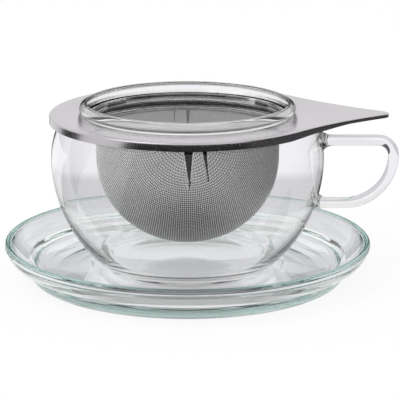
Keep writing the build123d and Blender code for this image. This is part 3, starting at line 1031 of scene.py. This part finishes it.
CARD_STEPS = 64
BLACK, SOFT_BLACK, DARK, DIM = 0.03, 0.05, 0.09, 0.4
OVER_FLOOR = 0.5 * MM
TABLE = ((78 * MM, OVER_FLOOR), (3, OVER_FLOOR))
ROOM = ((1.6, 0), (1.6, 1.8))
ROOM_LOW, ROOM_MIDDLE = (1.6, 0.4), (1.6, 0.55)
IN_GLASS = (SHARP, MIRRORED)
IN_LID = (SHARP, MIRRORED, FOUR_FACES_AT_MOST)
DEEP_IN_GLASS = (SHARP, MIRRORED, THREE_FACES_OR_MORE)
CARDS = (
    # The table, mirrored in the plate's lip and in glass
    Card("dark_table", -138, -45, *TABLE, BLACK),
    Card("dark_table_right", -45, 116, *TABLE, DARK),
    Card("dark_table_left", 152, 179, *TABLE, BLACK),
    # The right side of the room, mirrored in steel and glass
    Card("dark_side", -40, 25, (2, 0), (2, 2), BLACK),
    # The room, mirrored in glass, with a lighter wall behind over a dark one
    Card("dark_room", -138, 25, *ROOM, BLACK, IN_GLASS),
    Card("dark_room_back", 25, 155, ROOM[0], ROOM_LOW, BLACK, IN_GLASS),
    Card("dim_room_back", 25, 155, ROOM_LOW, ROOM_MIDDLE, DIM, IN_GLASS),
    Card("dark_room_left", 155, 179, *ROOM, BLACK, IN_GLASS),
    # Behind the saucer, mirrored in the lid's floor and seen through the lid's wall
    Card("dark_behind", 45, 135, (0.12, 52 * MM), (0.12, 95.5 * MM), BLACK, IN_LID, True),
    # On the right, mirrored in the steel inside the glass
    Card("dark_right", -45, 65, (0.085, OVER_FLOOR), (1.2, 0.9), BLACK, DEEP_IN_GLASS, True),
    # Behind on the right, seen bent through the handle and the thick edges of the glass
    Card("dark_bend", 10, 68, (0.5, 0), (0.5, 0.5), SOFT_BLACK, (SHARP, NOT_MIRRORED), True),
)


def white_to_lens(tree):
    """A value that is 1 for rays from the camera, from a mirror-like surface or through glass, and else 0."""
    path = add_node(tree, "ShaderNodeLightPath")
    value = path.outputs["Is Camera Ray"]
    for ray in ("Is Glossy Ray", "Is Transmission Ray"):
        value = add_node(tree, "ShaderNodeMath", {"operation": "MAXIMUM"}, value, path.outputs[ray])
    return value


def ray_fits(tree, *rules):
    """A value that is 1 for a ray that fits every rule on its last surface or its bounces, and else 0."""
    path = add_node(tree, "ShaderNodeLightPath")
    value = 1
    for count, operation, limit in rules:
        fits = add_node(tree, "ShaderNodeMath", {"operation": operation}, path.outputs[count], limit)
        value = add_node(tree, "ShaderNodeMath", {"operation": "MULTIPLY"}, value, fits)
    return value


def make_world(settings):
    """An even white studio: full white behind the object, less where it only lights."""
    world = bpy.data.worlds.new("White studio")
    bpy.context.scene.world = world
    world.use_nodes = True
    tree = world.node_tree
    tree.nodes.clear()
    through_glass = ray_fits(tree, THROUGH_GLASS, NOT_MIRRORED)
    seen = add_node(
        tree, "ShaderNodeMapRange", Value=through_glass, To_Min=1, To_Max=settings.glow_above_glass
    )
    strength = add_node(
        tree, "ShaderNodeMapRange", Value=white_to_lens(tree), To_Min=settings.ambient, To_Max=seen
    )
    white = add_node(tree, "ShaderNodeBackground", Color=WHITE, Strength=strength)
    add_node(tree, "ShaderNodeOutputWorld", Surface=white)


def make_floor(settings):
    """A white floor that keeps a faint shadow, and is less white where glass or steel shows it, with painted
    shadows and a painted pool of light there.
    """
    material, tree = new_material("White paper floor")
    place = add_node(tree, "ShaderNodeTexCoord").outputs["Object"]
    axes = add_node(tree, "ShaderNodeSeparateXYZ", Vector=place)
    from_middle = add_node(tree, "ShaderNodeMath", {"operation": "ABSOLUTE"}, axes.outputs["Y"])
    from_axis = add_node(tree, "ShaderNodeVectorMath", {"operation": "LENGTH"}, place)
    from_front = add_node(tree, "ShaderNodeVectorMath", {"operation": "DISTANCE"}, place, FRONT_MIDDLE)
    table_end = (settings.table_depth - TABLE_BLUR, settings.table_depth + TABLE_BLUR)
    # Through glass: a painted pool of light under the cup, then darker floor under and round the saucer,
    # partly painted shadow of the saucer and partly the grey of the table out to its depth
    table = settings.glow_under_cup
    for distance, change, brightness in (
        (from_axis, CUP_FOOT, settings.glow_under_glass),
        (from_axis, SAUCER_EDGE, settings.glow_near_glass),
        (from_middle, table_end, settings.glow_behind_glass),
    ):
        table = add_node(tree, "ShaderNodeMapRange", None, distance, *change, table, brightness)
    # Painted shadow of the strainer under the saucer's front, and painted shadow round the object where steel
    # mirrors the floor
    shaded = add_node(tree, "ShaderNodeMapRange", None, from_front, *FRONT_SHADE, settings.front_shade, 1)
    dimmed = add_node(tree, "ShaderNodeMapRange", None, from_axis, *STEEL_SHADE, settings.glow_in_steel, 1)
    in_glass = add_node(tree, "ShaderNodeMath", {"operation": "MULTIPLY"}, table, shaded)
    in_steel = add_node(tree, "ShaderNodeMath", {"operation": "MULTIPLY"}, dimmed, shaded)
    steel_seen = ray_fits(tree, THROUGH_GLASS, MIRRORED, THREE_FACES_OR_MORE)
    glass_seen = add_node(
        tree, "ShaderNodeMath", {"operation": "SUBTRACT"}, ray_fits(tree, THROUGH_GLASS), steel_seen
    )
    outside = add_node(tree, "ShaderNodeMapRange", Value=steel_seen, To_Min=FLOOR_WHITE, To_Max=in_steel)
    strength = add_node(tree, "ShaderNodeMapRange", Value=glass_seen, To_Min=outside, To_Max=in_glass)
    glass_tone = (*settings.glass_tone, 1)
    tone = add_node(tree, "ShaderNodeMix", {"data_type": "RGBA"}, glass_seen, WHITE, glass_tone)
    glow = add_node(tree, "ShaderNodeEmission", Color=tone, Strength=strength)
    paper = add_node(tree, "ShaderNodeBsdfDiffuse", Color=FLOOR_PAPER)
    white = add_node(
        tree, "ShaderNodeMath", {"operation": "MULTIPLY"}, white_to_lens(tree), settings.floor_glow
    )
    surface = add_node(tree, "ShaderNodeMixShader", None, white, paper, glow)
    add_node(tree, "ShaderNodeOutputMaterial", Surface=surface)
    bpy.ops.object.select_all(action="DESELECT")
    bpy.ops.mesh.primitive_plane_add(size=FLOOR_SIZE)
    floor = bpy.context.object
    floor.name = "floor"
    floor.data.materials.append(material)


def make_card(card):
    """Models a card and gives it its shade."""
    material, tree = new_material(card.name.replace("_", " "))
    dark = add_node(tree, "ShaderNodeEmission", Color=(card.shade, card.shade, card.shade, 1))
    clear = add_node(tree, "ShaderNodeBsdfTransparent")
    surface = add_node(tree, "ShaderNodeMixShader", None, ray_fits(tree, *card.rules), clear, dark)
    add_node(tree, "ShaderNodeOutputMaterial", Surface=surface)
    piece = draw(card.name, [(distance, 0, height) for distance, height in (card.near, card.far)])
    bend = math.radians(card.end - card.start)
    bpy.ops.mesh.spin(steps=CARD_STEPS, angle=bend, center=(0, 0, 0), axis=(0, 0, -1))
    bpy.ops.object.mode_set(mode="OBJECT")
    piece.rotation_euler.z = math.radians(card.start)
    piece.data.materials.append(material)
    piece.visible_camera = piece.visible_diffuse = piece.visible_shadow = piece.visible_volume_scatter = False
    piece.visible_glossy, piece.visible_transmission = not card.through_glass, card.through_glass


def make_stage(settings):
    """Camera, light, floor and the dark cards that draw the edges of glass and steel."""
    make_world(settings)
    make_floor(settings)
    for card in CARDS:
        make_card(card)
    bpy.ops.object.light_add(type="AREA", location=KEY_PLACE)
    key = bpy.context.object
    key.name = "soft_light"
    key.data.size = settings.key_size
    key.data.energy = settings.key_power
    key.rotation_euler = (-key.location).to_track_quat("-Z", "Y").to_euler()
    back = Vector((0, -math.cos(settings.camera_elevation), math.sin(settings.camera_elevation)))
    bpy.ops.object.camera_add(
        location=Vector((0, 0, settings.camera_aim)) + back * settings.camera_distance,
        rotation=(QUARTER_TURN - settings.camera_elevation, 0, 0),
    )
    camera = bpy.context.object
    camera.data.lens = settings.camera_lens
    camera.data.shift_x = settings.aim_left / PHOTO_PIXELS
    camera.data.shift_y = -settings.aim_up / PHOTO_PIXELS
    scene = bpy.context.scene
    scene.camera = camera
    scene.view_settings.view_transform = "Standard"
    scene.cycles.max_bounces = scene.cycles.transmission_bounces = GLASS_BOUNCES
    scene.cycles.glossy_bounces = MIRROR_BOUNCES


# Operators, one for each piece or group of like pieces, and the panel that lists them


class TEACUP_OT_saucer(bpy.types.Operator):
    """Model the glass saucer"""
    bl_idname = "teacup.saucer"
    bl_label = "Saucer"

    def execute(self, context):
        make_saucer(context.scene.tea_cup.saucer, context.scene.tea_cup.finishes)
        return {"FINISHED"}


class TEACUP_OT_cup(bpy.types.Operator):
    """Model the glass bowl and its handle"""
    bl_idname = "teacup.cup"
    bl_label = "Cup"

    def execute(self, context):
        finishes = context.scene.tea_cup.finishes
        glass = clear_glass(
            "Blown borosilicate glass", BOROSILICATE_IOR, finishes.cup_tint, finishes.cup_depth,
            ripple_size=22 * MM, ripple=0.02,
        )
        make_bowl(context.scene.tea_cup.cup, glass)
        make_handle(context.scene.tea_cup.cup, glass)
        return {"FINISHED"}


class TEACUP_OT_plate(bpy.types.Operator):
    """Model the strainer's plate, collar and band"""
    bl_idname = "teacup.plate"
    bl_label = "Strainer Plate"

    def execute(self, context):
        sizes, finishes = context.scene.tea_cup.strainer, context.scene.tea_cup.finishes
        satin = brushed_steel(
            "Satin stainless steel", finishes.plate_steel, roughness=0.24, streak_length=9 * MM,
            streak_width=0.25 * MM, contrast=0.05,
        )
        # The collar and band's steel is painted near black as the shade under the plate and lid
        drawn = brushed_steel(
            "Drawn stainless steel", finishes.shaded_collar_steel, roughness=0.2, streak_length=6 * MM,
            streak_width=0.3 * MM, contrast=0.06,
        )
        make_plate(sizes, satin)
        make_collar(sizes, drawn)
        make_band(sizes, drawn)
        return {"FINISHED"}


class TEACUP_OT_basket(bpy.types.Operator):
    """Model the woven mesh basket and its folds"""
    bl_idname = "teacup.basket"
    bl_label = "Mesh Basket"

    def execute(self, context):
        sizes, finishes = context.scene.tea_cup.strainer, context.scene.tea_cup.finishes
        # The wire's crest and hollow colours paint a highlight on the crests and shade in the dips
        wire = rolled_wire("Rolled steel wire", finishes.wire_crest, finishes.wire_dip_shade, roughness=0.42)
        # The cloth in the gaps is painted dark as the shade between the wires
        gaps = wire_cloth(
            "Fine wire cloth in the gaps", finishes.gap_shade_cloth, roughness=0.5, grain=0.6 * MM, contrast=0.4
        )
        # The cloth inside is painted white as a lit copy of the dark gap cloth
        inside = wire_cloth(
            "Fine wire cloth inside", finishes.wire_crest, roughness=0.5, grain=0.4 * MM, contrast=0.1,
            metallic=0.35,
        )
        # The folded cloth is painted dark as the shade in the depth of the folds
        folded = wire_cloth(
            "Folded wire cloth", finishes.fold_shade_steel, roughness=0.5, grain=0.5 * MM, contrast=0.8
        )
        make_cloth(sizes, gaps, inside)
        make_wires(sizes, wire, "basket_warp", 0)
        make_wires(sizes, wire, "basket_weft", 1)
        make_folds(sizes, folded)
        return {"FINISHED"}


class TEACUP_OT_lid(bpy.types.Operator):
    """Model the glass lid"""
    bl_idname = "teacup.lid"
    bl_label = "Lid"

    def execute(self, context):
        make_lid(context.scene.tea_cup.lid, context.scene.tea_cup.finishes)
        return {"FINISHED"}


class TEACUP_OT_stage(bpy.types.Operator):
    """Set up the floor, light and camera"""
    bl_idname = "teacup.stage"
    bl_label = "Stage"

    def execute(self, context):
        make_stage(context.scene.tea_cup.stage)
        return {"FINISHED"}


OPERATORS = (
    TEACUP_OT_saucer, TEACUP_OT_cup, TEACUP_OT_plate, TEACUP_OT_basket, TEACUP_OT_lid, TEACUP_OT_stage
)


class TEACUP_PT_panel(bpy.types.Panel):
    """Lists the pieces of the tea cup"""
    bl_idname = "TEACUP_PT_panel"
    bl_label = "Tea Cup"
    bl_space_type = "VIEW_3D"
    bl_region_type = "UI"
    bl_category = "Tea Cup"

    def draw(self, context):
        for operator in OPERATORS:
            self.layout.operator(operator.bl_idname)


CLASSES = (
    SaucerSizes, CupSizes, StrainerSizes, LidSizes, Finishes, StageSettings, TeaCup,
    *OPERATORS, TEACUP_PT_panel,
)


def register():
    """Registers the classes and puts the settings on the scene."""
    for each in CLASSES:
        bpy.utils.register_class(each)
    bpy.types.Scene.tea_cup = PointerProperty(type=TeaCup)


def unregister():
    """Takes the settings and the classes away again."""
    del bpy.types.Scene.tea_cup
    for each in reversed(CLASSES):
        bpy.utils.unregister_class(each)


def main():
    """Builds every piece and the stage."""
    register()
    bpy.ops.teacup.saucer()
    bpy.ops.teacup.cup()
    bpy.ops.teacup.plate()
    bpy.ops.teacup.basket()
    bpy.ops.teacup.lid()
    bpy.ops.teacup.stage()


if __name__ == "__main__":
    main()
